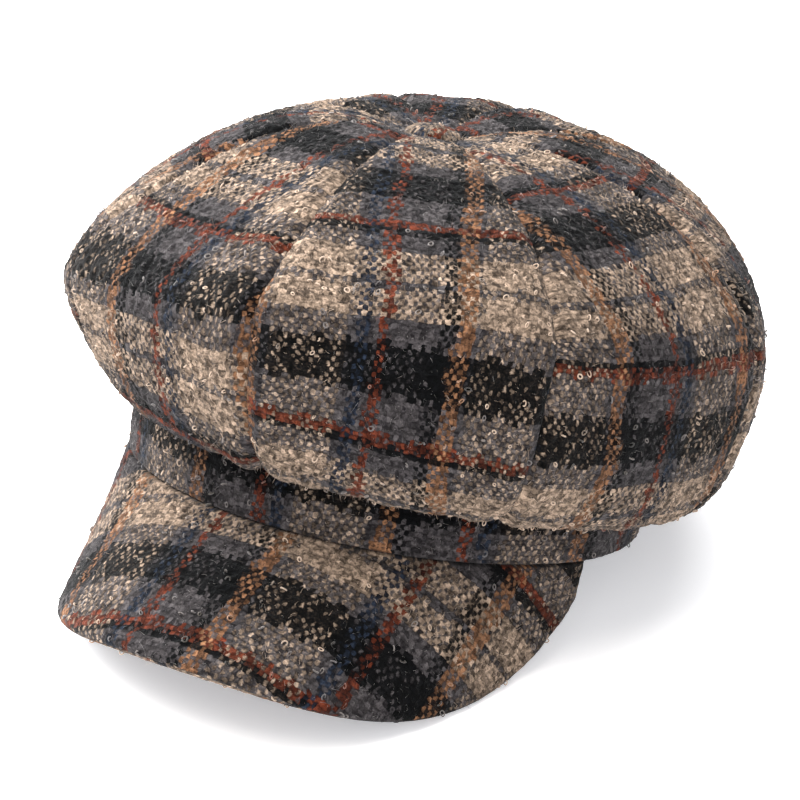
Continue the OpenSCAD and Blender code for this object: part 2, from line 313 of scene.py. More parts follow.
    # painted shade: the gaps between the yarns are darkened and the yarn tops lightened by their height, and
    # some patches are more worn than others
    paintedShadeAndWear = addNode(tree, "MapRange", {0: height, 1: 0.3, 2: 1.02, 3: 0.14, 4: 1.2}).outputs[0]
    patch = addNode(tree, "TexNoise", {"Vector": cloth, "Scale": 0.07, "Detail": 2.0}).outputs["Fac"]
    worn = addNode(tree, "MapRange", {0: patch, 1: 0.3, 2: 0.7, 3: 0.76, 4: 1.2}).outputs[0]
    paintedShadeAndWear = addNode(tree, "Math", {0: paintedShadeAndWear, 1: worn}, operation="MULTIPLY").outputs[0]
    # the yarns' colour scaled by that painted shade and by the worn patches
    colour = addNode(tree, "VectorMath", {0: shown, 3: paintedShadeAndWear}, operation="SCALE").outputs[0]
    finishMaterial(tree, colour, height, 0.0005, 0.8, Roughness=0.95, Sheen_Weight=0.05, Sheen_Roughness=0.4,
                   Specular_IOR_Level=0.05)
    return material


def looseWoolMaterial():
    # curls and hairs drawn out of the same yarns, so each takes the plaid's colour where it stands
    material, tree = newMaterial("looseWool")
    cloth = addNode(tree, "UVMap", uv_map="cloth").outputs[0]
    split = addNode(tree, "SeparateXYZ", {0: cloth})
    warpLight, weftLight = plaidYarns(tree, split.outputs[0], split.outputs[1])[1::3]
    chance = addNode(tree, "TexWhiteNoise", {0: cloth}, noise_dimensions="2D").outputs["Value"]
    pick = addNode(tree, "Math", {0: chance, 1: 0.5}, operation="LESS_THAN").outputs[0]
    light = addNode(tree, "Mix", {0: pick, 6: warpLight, 7: weftLight}, data_type="RGBA").outputs[2]
    pale = addNode(tree, "Math", {0: chance, 1: 0.16}, operation="MULTIPLY").outputs[0]
    colour = addNode(tree, "Mix", {0: pale, 6: light, 7: toLinear("#a89a88")}, data_type="RGBA").outputs[2]
    finishMaterial(tree, colour, Roughness=0.9, Sheen_Weight=0.3, Specular_IOR_Level=0.2)
    return material


def satinMaterial():
    # polyester satin lining: fine floats that give a soft lengthways shine
    material, tree = newMaterial("polyesterSatin")
    cloth = addNode(tree, "UVMap", uv_map="cloth").outputs[0]
    stretched = addNode(tree, "Mapping", {"Vector": cloth, "Scale": (2.4, 0.35, 1)}).outputs[0]
    floats = addNode(tree, "TexNoise", {"Vector": stretched, "Scale": 1.0, "Detail": 3.0}).outputs["Fac"]
    shade = addNode(tree, "Mix", {0: floats, 6: toLinear("#26262b"), 7: toLinear("#46464e")},
                    data_type="RGBA").outputs[2]
    finishMaterial(tree, shade, floats, 0.00004, 0.6, Roughness=0.36, Sheen_Weight=0.15, Anisotropic=0.5)
    return material


def ribbonMaterial(name, darker, lighter, ribs, roughness):
    # woven narrow goods: cross ribs that many mm apart, each darker in its trough and lighter on its crest,
    # painted shade that follows the ribs' bump
    material, tree = newMaterial(name)
    cloth = addNode(tree, "UVMap", uv_map="cloth").outputs[0]
    wavePeriod = 0.314   # of the wave texture at a scale of 1
    wave = addNode(tree, "TexWave", {"Vector": cloth, "Scale": wavePeriod / ribs, "Distortion": 0.6,
                                     "Detail": 1.0, "Detail Scale": 0.8},
                   wave_profile="SIN", bands_direction="X").outputs["Fac"]
    grain = addNode(tree, "TexNoise", {"Vector": cloth, "Scale": 1.7, "Detail": 2.0}).outputs["Fac"]
    blend = addNode(tree, "Math", {0: grain, 1: 0.5, 2: wave}, operation="MULTIPLY_ADD").outputs[0]
    part = addNode(tree, "MapRange", {0: blend, 1: 0.1, 2: 1.3}).outputs[0]
    # painted shade: the colour runs from dark to light with the same wave that makes the ribs' bump
    shade = addNode(tree, "Mix", {0: part, 6: toLinear(darker), 7: toLinear(lighter)},
                    data_type="RGBA").outputs[2]
    finishMaterial(tree, shade, wave, 0.00018, 0.8, Roughness=roughness, Sheen_Weight=0.2)
    return material


def feltMaterial(name, darker, lighter, size):
    # pressed, bonded or twisted fibres: matt, with a cloudy tangle of that size in mm
    material, tree = newMaterial(name)
    place = addNode(tree, "TexCoord").outputs["Object"]
    fibres = addNode(tree, "TexNoise", {"Vector": place, "Scale": 1 / (size * mm), "Detail": 4.0,
                                        "Distortion": 1.4}).outputs["Fac"]
    shade = addNode(tree, "Mix", {0: fibres, 6: toLinear(darker), 7: toLinear(lighter)},
                    data_type="RGBA").outputs[2]
    finishMaterial(tree, shade, fibres, 0.0003, 0.6, Roughness=0.95, Sheen_Weight=0.2)
    return material


def plasticMaterial(name, darker, lighter, roughness):
    # cut polyethylene sheet or moulded nylon: waxy and slightly cloudy, with fine scuffs
    material, tree = newMaterial(name)
    place = addNode(tree, "TexCoord").outputs["Object"]
    cloud = addNode(tree, "TexNoise", {"Vector": place, "Scale": 90.0, "Detail": 3.0}).outputs["Fac"]
    scuffs = addNode(tree, "TexNoise", {"Vector": place, "Scale": 900.0, "Detail": 2.0}).outputs["Fac"]
    shade = addNode(tree, "Mix", {0: cloud, 6: toLinear(darker), 7: toLinear(lighter)},
                    data_type="RGBA").outputs[2]
    gloss = addNode(tree, "MapRange", {0: scuffs, 3: roughness - 0.08, 4: roughness + 0.12}).outputs[0]
    finishMaterial(tree, shade, scuffs, 0.00003, 0.5, Roughness=gloss, IOR=1.51)
    return material


tweedCloth = tweedMaterial()
looseWool = looseWoolMaterial()
satin = satinMaterial()
grosgrain = ribbonMaterial("cottonGrosgrain", "#141417", "#333338", 1.1, 0.7)
webbing = ribbonMaterial("wovenElastic", "#b9b7b0", "#eceae4", 1.3, 0.75)
felt = feltMaterial("pressedFelt", "#b3ab9b", "#e0d9c9", 1.2)
wadding = feltMaterial("bondedWadding", "#cfc9b9", "#f3eee2", 3.0)
boardPlastic = plasticMaterial("polyethyleneSheet", "#d2cfc6", "#ece9e1", 0.5)
buttonPlastic = plasticMaterial("mouldedNylon", "#7c7a75", "#9a978f", 0.4)
thread = feltMaterial("polyesterThread", "#26262a", "#4a4a50", 0.35)
print("materials ready")


def pile(points, nub, fuzz, seeds):
    # the rough face of the tweed: its nubs, and the fuzz on them
    return (nub * smoothNoise(points, tweed["nubSize"], seeds[0])
            + fuzz * smoothNoise(points, tweed["fuzzSize"], seeds[1]))


def around(values, angle):
    return values[0] + values[1] * np.sin(angle) + values[2] * np.cos(angle)


def bezier(a, b, c, d, t):
    t = t[..., None]
    return (1 - t) ** 3 * a + 3 * t * (1 - t) ** 2 * b + 3 * t * t * (1 - t) * c + t ** 3 * d


def crownPoint(angle, row, inset=0.0, seamIn=None, seamUp=None, slump=1.0):
    # row 0 is the top centre, 1 the widest line and 2 the headband
    angle, row = np.broadcast_arrays(angle, row)
    seamIn = -cap["clear"] if seamIn is None else seamIn
    seamUp = cap["bandHigh"] + cap["clear"] + inset if seamUp is None else seamUp
    off = np.abs(np.mod(angle, goreArc) - goreArc / 2)
    pull = 1 - cap["panelFlat"] * (1 - math.cos(goreArc / 2) / np.cos(off))
    x = (cap["crownHalfWide"] - inset) * np.sin(angle) * pull
    y = -(cap["crownHalfLong"] - inset) * np.cos(angle) * pull + cap["crownBack"]
    wide = np.stack([x, y, cap["wideUp"] + cap["wideRise"][0] * x - cap["wideRise"][1] * y], -1)
    seam = np.stack([(cap["bandHalfWide"] - seamIn) * np.sin(angle),
                     -(cap["bandHalfLong"] - seamIn) * np.cos(angle),
                     0 * angle + seamUp], -1)
    top = np.stack([0 * angle + cap["topCentre"][0], 0 * angle + cap["topCentre"][1],
                    0 * angle + cap["topUp"] - inset], -1)
    rise = (top - wide)[..., 2]
    topArm = top + (wide - top) * around(cap["topFlat"], angle)[..., None]
    topArm[..., 2] = top[..., 2] + cap["dimple"] * rise
    above, below = wide.copy(), wide.copy()
    above[..., 2] += around(cap["shoulder"], angle) * rise
    below[..., 2] -= around(cap["belly"], angle) * (wide - seam)[..., 2]
    seamArm = seam + (wide - seam) * np.maximum(0.08, around(cap["fold"], angle))[..., None]
    seamArm[..., 2] = seam[..., 2] - around(cap["sag"], angle) * slump
    upper = bezier(top, topArm, above, wide, np.minimum(row, 1))
    lower = bezier(wide, below, seamArm, seam, np.maximum(row - 1, 0))
    points = np.where(row[..., None] < 1, upper, lower)
    fromTop = np.hypot(points[..., 0] - cap["topCentre"][0], points[..., 1] - cap["topCentre"][1])
    points[..., 2] -= cap["topSink"] * bell(fromTop, cap["topSinkWide"]) * (row < 1)
    return points


# the crown is eight gores of tweed, puffed beside their sunken seams; sizes in mm
crown = {
    "rows": 360, "cols": 144, "inner": 6, "start": 0.045, "cloth": 2.2, "fromTop": 5,
    "seamDip": 2.1, "seamWide": 2.3, "puff": 1.3, "puffAt": 9, "puffWide": 6, "narrow": 26,
    "billow": 1.3, "billowSize": 42, "ripple": 0.55, "rippleSize": 17,
    "nub": 0.5, "fuzz": 0.24, "pileFade": 16, "pucker": 0.7, "puckerHigh": 10, "puckers": 47,
    "wobble": 1.5, "wobbleSize": 22, "grainAt": 120,
    # which way up each gore was cut, where the rust warp and the wide black weft cross it, and its grain's turn
    "cuts": [(1, -8.2, 150.5, -0.02), (-1, -3.5, 168.5, -0.11), (1, -20, 133.5, 0.02), (-1, 5, 118.5, 0.0),
             (1, 3, 108.5, 0.02), (-1, -6, 110, -0.02), (1, 6, 138.5, 0.0), (-1, 8.5, 133.5, 0.03)],
}


def rowsDown(count, start, inset=0.0, seamIn=None, seamUp=None, slump=1.0):
    # rows evenly spaced down the cloth
    t = np.linspace(start, 2, 900)
    some = np.linspace(0, 2 * math.pi, 17)[:-1]
    angle, row = np.meshgrid(some, t)
    length = along(crownPoint(angle, row, inset, seamIn, seamUp, slump), 0).mean(1)
    return np.interp(np.linspace(0, length[-1], count + 1), length, t)


def clothOf(points, cut, fromTop):
    # where each point of a gore lies on the flat plaid, in mm
    across = along(points, 1)
    across = across - across[:, -1:] / 2
    middle = along(points[:, points.shape[1] // 2], 0) + fromTop
    down = np.repeat(middle[:, None], points.shape[1], 1)
    turn, rust, black, skew = cut
    warp = turn * (across - rust + skew * (down - crown["grainAt"]))
    weft = turn * (down - black - skew * across)
    return np.stack([warp, weft], -1)


def crownSurface():
    angles = np.linspace(0, 2 * math.pi, gores * crown["cols"] + 1)
    angle, row = np.meshgrid(angles, rowsDown(crown["rows"], crown["start"]))
    base = crownPoint(angle, row)
    normal = gridNormals(base, True)
    normal *= np.sign((normal * (base - base.mean((0, 1)))).sum(-1).mean())
    arc = along(base, 1)
    cols = crown["cols"]
    edge = np.zeros(arc.shape)
    for g in range(gores):
        part = slice(g * cols, (g + 1) * cols + 1)
        left = arc[:, part] - arc[:, [g * cols]]
        edge[:, part] = np.minimum(left, left[:, -1:] - left)
    toBand = along(base[::-1], 0)[::-1]
    # seams are shallower where the gores run narrow and at the headband
    calm = np.clip(edge.max(1, keepdims=True) / crown["narrow"], 0, 1) * np.clip(toBand / 5, 0, 1)
    uneven = 0.6 + 0.4 * smoothNoise(base, 30, 3)
    lift = -crown["seamDip"] * bell(edge, crown["seamWide"]) * calm
    lift += crown["puff"] * bell(edge - crown["puffAt"], crown["puffWide"]) * calm * uneven
    lift += crown["billow"] * smoothNoise(base, crown["billowSize"], 5) * np.clip(toBand / 20, 0, 1)
    lift += crown["ripple"] * smoothNoise(base, crown["rippleSize"], 6) * np.clip(toBand / 8, 0, 1)
    gather = (np.sin(angle * crown["puckers"] + 2.5 * smoothNoise(base, 35, 8))
              * (0.6 + 0.4 * smoothNoise(base, 24, 9)))
    lift += crown["pucker"] * gather * bell(toBand - 4, crown["puckerHigh"]) * np.clip(toBand / 3, 0, 1)
    smooth = base + normal * lift[..., None]
    lift = pile(base, crown["nub"], crown["fuzz"], (11, 12)) * np.clip(toBand / crown["pileFade"], 0, 1)
    return base, smooth + normal * lift[..., None], normal, angle


woolSites = []   # places, directions and plaid of the outer cloth, for curls and hairs


def noteSites(points, normals, cloth):
    a = points[1:, :-1] - points[:-1, :-1]
    b = points[:-1, 1:] - points[:-1, :-1]
    area = np.linalg.norm(np.cross(a, b), axis=-1)
    woolSites.append((points[:-1, :-1].reshape(-1, 3), normals[:-1, :-1].reshape(-1, 3),
                      cloth[:-1, :-1].reshape(-1, 2), area.ravel()))


crownBase, crownShape, crownNormal, crownAngle = crownSurface()
innerRows = rowsDown(crown["rows"], crown["start"])[::crown["inner"]]
for g in range(gores):
    cols, every = crown["cols"], crown["inner"]
    part = slice(g * cols, (g + 1) * cols + 1)
    base, outer, normal = crownBase[:, part], crownShape[:, part], crownNormal[:, part]
    angle, row = np.meshgrid(crownAngle[0, part][::every], innerRows)
    # the inner face follows the outer one down where a seam sinks
    coarse = normal[::every, ::every]
    dip = np.minimum(((outer - base)[::every, ::every] * coarse).sum(-1), 0)
    inner = crownPoint(angle, row, crown["cloth"]) + dip[..., None] * coarse
    wobble = np.stack([smoothNoise(base, crown["wobbleSize"], seed) for seed in (21, 22)], -1)
    cloth = clothOf(base, crown["cuts"][g], crown["fromTop"]) + crown["wobble"] * wobble
    gore = sewnSheet(f"crownGore{g + 1}", outer, inner, every, cloth, tweedCloth)
    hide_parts(f"crown_panel_{g + 1}")
    declareSheet(base)
    noteSites(outer, normal, cloth)
print("crown gores made")


def oval(angle, inset, z):
    # points on the headband's oval, or that far inside it
    angle, inset, z = np.broadcast_arrays(angle, inset, z)
    return np.stack([(cap["bandHalfWide"] - inset) * np.sin(angle),
                     -(cap["bandHalfLong"] - inset) * np.cos(angle), z], -1)


def outwards(angle):
    way = oval(angle, -1.0, 0.0) - oval(angle, 0.0, 0.0)
    return way / np.linalg.norm(way, axis=-1, keepdims=True)


# the visor is a board and padding between two cloths; sizes in mm, angles in degrees
visor = {
    "reach": 66.5, "endReach": 12.5, "arc": 75, "halfArc": 124.0, "slope": 30.5, "droop": 52, "corner": 4.6,
    "thick": 6.48, "taper": 0.45, "cols": 330, "rows": 102, "inner": 6, "round": 3.6, "roundSteps": 9,
    "cloth": 2.0, "seam": 2.2, "nub": 0.4, "fuzz": 0.16, "swell": 0.7, "swellSize": 30,
    # where the rust warp and the black weft cross it, and how the cloth was eased as it was pulled on
    "rust": -15.5, "black": -26.0, "easeFrom": 25.5, "easeAcross": 0.87, "easeAhead": 0.84,
    "underShift": (9, 23),
}


def visorLength(side):
    return visor["endReach"] + (visor["reach"] - visor["endReach"]) * (1 - np.abs(side) ** visor["corner"])


def visorFace(side, out):
    side, out = np.broadcast_arrays(side, out)
    slope = np.radians(visor["slope"] + visor["droop"] * side * side)
    a = side * math.radians(visor["arc"])
    root = np.stack([cap["bandHalfWide"] * np.sin(a), -cap["bandHalfLong"] * np.cos(a),
                     0 * a - cap["clear"]], -1)
    ray = np.stack([0 * a, -np.cos(slope), -np.sin(slope)], -1)
    return root + (visorLength(side) * out)[..., None] * ray


def visorDown(side, out):
    # the way straight down through the visor
    step = 0.01
    a = visorFace(side + step, out + step) - visorFace(side - step, out + step)
    b = visorFace(side, out + step) - visorFace(side, out - step)
    down = np.cross(a, b)
    return down / np.linalg.norm(down, axis=-1, keepdims=True)


def visorPlan(side, out):
    # the same points on the flat cloth: x across, y back from the front of the headband
    middle = 200
    fine = np.linspace(-1, 1, 2 * middle + 1)
    root, rim = visorFace(fine, 0 * fine), visorFace(fine, 0 * fine + 1)
    ray = (rim - root) / np.linalg.norm(rim - root, axis=-1, keepdims=True)
    hop = np.diff(root, axis=0)
    size = np.linalg.norm(hop, axis=-1)
    before = np.arccos(((hop / size[:, None]) * ray[:-1]).sum(-1))
    after = np.arccos(((hop / size[:, None]) * ray[1:]).sum(-1))
    heading = np.concatenate([[0], np.cumsum(before - after)])
    heading = heading - heading[middle] - math.pi / 2
    way = heading[:-1] + before
    flat = np.concatenate([[[0, 0]], np.cumsum(size[:, None] * np.stack([np.cos(way), np.sin(way)], -1), 0)])
    flat = flat - flat[middle]
    x, y, turn = (np.interp(side, fine, values) for values in (flat[:, 0], flat[:, 1], heading))
    ahead = np.stack([np.cos(turn), np.sin(turn)], -1)
    return np.stack([x, y], -1) + (visorLength(side) * out)[..., None] * ahead, ahead


def visorGrid(rows, cols):
    # rows and columns crowd at the free edges, so that the edge can be round
    r, steps = visor["round"], visor["roundSteps"]
    bend = r * (1 - np.cos(np.linspace(0, math.pi / 2, steps)))
    end = 1 - bend / visor["halfArc"]
    between = np.linspace(-end[-1], end[-1], cols - 2 * steps + 3)[1:-1]
    side = np.concatenate([-end, between, end[::-1]])
    reach = visorLength(side)
    inside = np.linspace(0, 1, rows - steps + 2)[:-1, None] * (1 - r / reach)
    edge = 1 - bend[::-1, None] / reach
    out = np.concatenate([inside, edge])
    side = np.repeat(side[None], out.shape[0], 0)
    return side, out


def edgeRound(side, out):
    # how full the visor is, from 0 at its free edges to 1 inside
    front = np.clip(visorLength(side) * (1 - out) / visor["round"], 0, 1)
    end = np.clip((1 - np.abs(side)) * visor["halfArc"] / visor["round"], 0, 1)
    return np.sqrt(1 - (1 - front) ** 2) * np.sqrt(1 - (1 - end) ** 2), front


def visorThick(side):
    return visor["thick"] * (1 - visor["taper"] * np.abs(side) ** 3)


def plaidOnVisor(side, out, front, turnOver):
    flat, ahead = visorPlan(side, out)
    extra = visor["round"] * (np.arcsin(1 - front) - (1 - front))
    flat = flat + ahead * extra[..., None]
    past = flat[..., 0] - visor["rust"] - visor["easeFrom"]
    warp = np.where(past > 0, past * visor["easeAcross"], past) + visor["easeFrom"]
    weft = visor["black"] - flat[..., 1]
    weft = np.where(weft > 0, weft * visor["easeAhead"], weft)
    if turnOver:
        warp, weft = visor["underShift"][0] - warp, visor["underShift"][1] + weft
    return np.stack([warp, weft], -1)


def visorCloth(name, node, under):
    side, out = visorGrid(visor["rows"], visor["cols"])
    full, front = edgeRound(side, out)
    face, down = visorFace(side, out), visorDown(side, out)
    half = visorThick(side) / 2
    sign = 1 if under else -1
    mid = face + down * half[..., None]
    skin = mid + sign * down * (half * full)[..., None]
    tucked = np.clip(visorLength(side) * out / 3, 0, 1)
    lift = visor["swell"] * smoothNoise(face, visor["swellSize"], 31 + under) * tucked * full
    lift = lift + pile(face, visor["nub"], visor["fuzz"], (33 + under, 35)) * tucked
    outward = sign * down * np.maximum(full, 0.25)[..., None]
    shaped = skin + outward * lift[..., None]
    # the sewn edge runs on under the headband
    tuckedIn = outwards(side[0] * math.radians(visor["arc"])) * visor["seam"]
    shaped[0] -= tuckedIn
    every = visor["inner"]
    sideIn, outIn, fullIn, halfIn = (values[::every, ::every] for values in (side, out, full, half))
    cut = min(visor["cloth"], visor["thick"] * 0.3)
    depth = halfIn + sign * np.maximum(halfIn - cut, 0.3) * np.maximum(fullIn, 0.1) * 0.97
    inner = visorFace(sideIn, outIn) + visorDown(sideIn, outIn) * depth[..., None]
    inner[0] -= tuckedIn[::every]
    cloth = plaidOnVisor(side, out, front, under)
    if not under:
        shaped, inner, cloth = shaped[:, ::-1], inner[:, ::-1], cloth[:, ::-1]
    piece = sewnSheet(name, shaped, inner, every, cloth, tweedCloth)
    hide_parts(node)
    declareSheet(face)
    noteSites(shaped, down if under else -down[:, ::-1], cloth)


visorCloth("visorTopCloth", "visor_top_cloth", False)
visorCloth("visorUnderCloth", "visor_under_cloth", True)
print("visor cloths made")


# the headband is folded in at its foot and seamed at the back; sizes in mm
band = {
    "cols": 864, "down": 27, "cloth": 2.2, "fold": 1.4, "foot": 0.7, "tuck": 0.95, "tuckHigh": 1.6,
    "roll": 0.5, "lump": 0.35, "lumpSize": 26, "seamDip": 1.5, "seamWide": 2.2, "nub": 0.36, "fuzz": 0.15,
    # where the rust warp crosses it, where its top lies on the weft, and how it was eased
    "rust": -2.4, "top": 1.2, "ease": 0.95, "easeAway": 0.0005,
}


def makeHeadband():
    angles = np.linspace(-math.pi, math.pi, band["cols"] + 1)
    high, fold, rows = cap["bandHigh"], band["fold"], band["down"]
    turn = np.linspace(0, math.pi * 0.6, 10)
    height = np.concatenate([np.linspace(high, fold, rows + 1)[:-1], fold * (1 - np.sin(turn))])
    depth = np.concatenate([np.zeros(rows), fold * (1 - np.cos(turn))])
    angle, z = np.meshgrid(angles, height)
    base = oval(angle, depth[:, None], z)
    run = along(base, 1)
    run = run - run[:, [band["cols"] // 2]]
    edge = np.abs(run[:, [-1]]) - np.abs(run)
    lift = band["roll"] * np.sin(np.pi * np.clip(z / high, 0, 1))
    lift = (lift + band["lump"] * smoothNoise(base, band["lumpSize"], 41)
            - band["seamDip"] * bell(edge, band["seamWide"]))
    lift = lift + pile(base, band["nub"], band["fuzz"], (42, 43))
    outer = base + outwards(angle) * (lift * np.clip((high - z) / 2, 0, 1))[..., None]
    inAngle, inHeight = np.meshgrid(angles[::6], np.linspace(high, band["foot"], 7))
    inDepth = band["cloth"] + band["tuck"] * bell(inHeight - band["foot"], band["tuckHigh"])
    x = run - band["rust"]
    cloth = np.stack([-x * (band["ease"] - band["easeAway"] * np.abs(x)), band["top"] + along(base, 0)], -1)
    piece = sewnSheet("headbandCloth", outer, oval(inAngle, inDepth, inHeight), 6, cloth, tweedCloth)
    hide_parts("headband")
    declareSheet(base)
    noteSites(outer, outwards(angle), cloth)


makeHeadband()


def hoop(name, node, material, inset, foot, top, start, stop, cols, rows, shape, thick=0.8):
    # a flat strip bent round the oval; shape gives how far each point stands out of it
    angle, z = np.meshgrid(np.linspace(start, stop, cols * 2 + 1), np.linspace(top, foot, rows * 2 + 1))
    face = oval(angle, inset + thick, z)
    run = along(face, 1)
    run = run - run[:, [cols]]
    stand = outwards(angle) * -shape(angle, z, run)[..., None]
    inside = face + stand
    outside = oval(angle, inset, z) + stand * 0.6
    cloth = np.stack([run, z], -1)[:, ::-1]
    piece = sewnSheet(name, inside[:, ::-1], outside[::2, ::-2], 2, cloth, material)
    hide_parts(node)
    declareSheet(face)


elasticArc = math.radians(35)   # to each side of the back
feltEnd = math.pi - elasticArc - math.radians(2)
hoop("interliningStrip", "headband_interlining", felt, inset=2.3, foot=3.2, top=18,
     start=-feltEnd, stop=feltEnd, cols=160, rows=8,
     shape=lambda angle, z, run: 0.08 * smoothNoise(oval(angle, 0, z), 5, 51))
hoop("backElastic", "back_elastic", webbing, inset=2.3, foot=3.5, top=15.5,
     start=math.pi - elasticArc, stop=math.pi + elasticArc, cols=140, rows=6,
     shape=lambda angle, z, run: 0.12 * np.sin(run * 1.9) * np.sin(np.pi * (z - 3.5) / 12))


stitchLines = (3.2, 20.4)   # mm up the sweatband


def sweatShape(angle, z, run):
    # lies flat at the front, and is drawn into small gathers by the elastic at the back
    back = np.clip((np.abs(angle) - math.pi + elasticArc + 0.1) / 0.2, 0, 1)
    gathers = 0.35 * np.sin(np.abs(run) * 1.15 + 1.2 * smoothNoise(oval(angle, 0, 0 * z), 9, 52)) * back
    seams = -0.25 * sum(bell(z - line, 0.6) for line in stitchLines)
    return 0.1 * smoothNoise(oval(angle, 0, z), 18, 53) + gathers * np.sin(np.pi * (z - 1) / 22) + seams + 0.15


hoop("sweatbandRibbon", "sweatband", grosgrain, inset=3.3, foot=1, top=23,
     start=-math.pi, stop=math.pi, cols=420, rows=16, shape=sweatShape)


def stitchRow(name, path, every, long, thick):
    # short capsules of thread that follow a line, each half sunk in the cloth
    length = along(path[None], 1)[0]
    count = int(length[-1] / every)
    at = (np.arange(count) + 0.5) * every
    middle = np.stack([np.interp(at, length, path[:, k]) for k in range(3)], -1)
    ahead = np.stack([np.interp(at + 0.2, length, path[:, k]) for k in range(3)], -1) - middle
    ahead = ahead / np.linalg.norm(ahead, axis=-1, keepdims=True)
    side = np.cross(ahead, [0, 0, 1.0])
    side = side / np.linalg.norm(side, axis=-1, keepdims=True)
    up = np.cross(side, ahead)
    ends = np.array([-1, -0.8, -0.3, 0.3, 0.8, 1])
    fat = np.array([0.15, 0.7, 1, 1, 0.7, 0.15])
    points, faces = [], []
    for c in range(count):
        first = len(points)
        for e, f in zip(ends, fat):
            for k in range(6):
                a = math.pi * k / 3
                spoke = side[c] * math.cos(a) + up[c] * math.sin(a)
                points.append(middle[c] + ahead[c] * e * long / 2 + spoke * f * thick / 2)
        for r in range(5):
            for k in range(6):
                a, b = first + r * 6 + k, first + r * 6 + (k + 1) % 6
                faces.append([a, b, b + 6, a + 6])
        faces.append([first + k for k in (5, 4, 3, 2, 1, 0)])
        faces.append([first + 30 + k for k in range(6)])
    makeObject(name, placed(np.array(points)), faces, thread)


for number, line in enumerate(stitchLines):
    path = oval(np.linspace(-math.pi, math.pi, 700), 4.05, line)
    stitchRow(f"sweatbandStitches{number + 1}", path, every=2.9, long=2.2, thick=0.42)
print("headband and sweatband made")


# the lining hangs free inside the crown and is sewn to the sweatband
lining = {"rows": 84, "cols": 36, "inset": 6.5, "cloth": 0.6, "seamIn": 3.2, "seamUp": 24.5,
          "sag": 1.6, "sagSize": 26, "crease": 0.9, "creaseSize": 11, "ridge": 0.9, "ridgeWide": 1.2,
          "gather": 0.5, "gathers": 70}
for g in range(gores):
    angles = np.linspace(g * goreArc, (g + 1) * goreArc, lining["cols"] + 1)
    sewnAt = [lining[key] for key in ("inset", "seamIn", "seamUp")]
    angle, row = np.meshgrid(angles, rowsDown(lining["rows"], crown["start"], *sewnAt, 0))
    outside, inside = (crownPoint(angle, row, *(value + deeper for value in sewnAt), 0)
                       for deeper in (0, lining["cloth"]))
    normal = gridNormals(outside)
    normal *= -np.sign((normal * (outside - np.array([0, 0, 60.0]))).sum(-1).mean())
    arc = along(outside, 1)
    edge = np.minimum(arc, arc[:, -1:] - arc)
    toBand = along(outside[::-1], 0)[::-1]
    lift = lining["sag"] * smoothNoise(outside, lining["sagSize"], 61)
    lift = lift + lining["crease"] * smoothNoise(outside * np.array([1, 1, 0.5]), lining["creaseSize"], 62)
    lift = lift * np.clip(edge / 6, 0, 1) * np.clip(toBand / 8, 0, 1)
    lift = lift + lining["ridge"] * bell(edge, lining["ridgeWide"]) * np.clip(toBand / 4, 0, 1)
    lift = lift + (lining["gather"] * np.sin(angle * lining["gathers"])
                   * bell(toBand - 5, 6) * np.clip(toBand / 3, 0, 1))
    outer = inside + normal * lift[..., None]
    inner = (outside + normal * (lift * 0.6)[..., None])[::3, ::3]
    cloth = clothOf(outside, (1, 0, 0, 0), crown["fromTop"])
    outer, inner, cloth = outer[:, ::-1], inner[:, ::-1], cloth[:, ::-1]
    gore = sewnSheet(f"liningGore{g + 1}", outer, inner, 3, cloth, satin)
    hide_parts(f"lining_panel_{g + 1}")
    declareSheet(outside)
print("lining made")


# shares of the visor that its board and padding take up
filling = {"side": 0.95, "root": 0.03, "rim": 0.89, "cols": 120, "rows": 36}


def visorLayer(name, node, material, top, thick, soft):
    side, out = np.meshgrid(np.linspace(-filling["side"], filling["side"], filling["cols"] + 1),
                            np.linspace(filling["root"], filling["rim"], filling["rows"] + 1))
    reach = filling["rim"] - filling["root"]
    edge = np.minimum(1 - np.abs(side) / filling["side"],
                      np.minimum(filling["rim"] - out, out - filling["root"]) / reach)
    shrink = 1 - visor["taper"] * np.abs(side) ** 3
    face, down = visorFace(side, out), visorDown(side, out)
    crownIn = soft * (1 - np.clip(edge / 0.06, 0, 1)) ** 2 * thick * 0.35
    bumps = soft * 0.1 * smoothNoise(face, 6, 71)
    upper = face + down * ((top + crownIn + bumps) * shrink)[..., None]
    lower = (face + down * ((top + thick - crownIn) * shrink)[..., None])[::3, ::3]
    plan = np.stack([side, out], -1)
    piece = sewnSheet(name, upper[:, ::-1], lower[:, ::-1], 3, plan[:, ::-1], material)
    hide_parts(node)
    return piece


padding = visorLayer("visorPadding", "visor_padding", wadding, top=2.4, thick=0.8, soft=1.0)
visorLayer("visorBoard", "visor_board", boardPlastic, top=3.4, thick=1.5, soft=0.0)


# the covered button at the top; sizes in mm
button = {"radius": 10, "high": 4.4, "lift": 1.1, "cols": 144, "rows": 48, "inner": 6, "pleats": 14,
          "lump": 0.35, "swell": 0.3, "swellSize": 6, "pleat": 0.25, "clothAt": (61, 46),
          # the core: a disc, the steps that it rises in, inwards and up, and the hollow under it
          "coreRadius": 7.0, "coreThick": 0.8, "coreUp": 0.1, "coreEdge": 0.15,
          "coreSteps": ((1.6, 0.75), (1.8, 0.35), (1.6, 0.15)), "hollowIn": 1.0, "hollowDeep": 0.35}
buttonAt = np.array([*cap["topCentre"], cap["topUp"] - cap["topSink"] + button["lift"]])


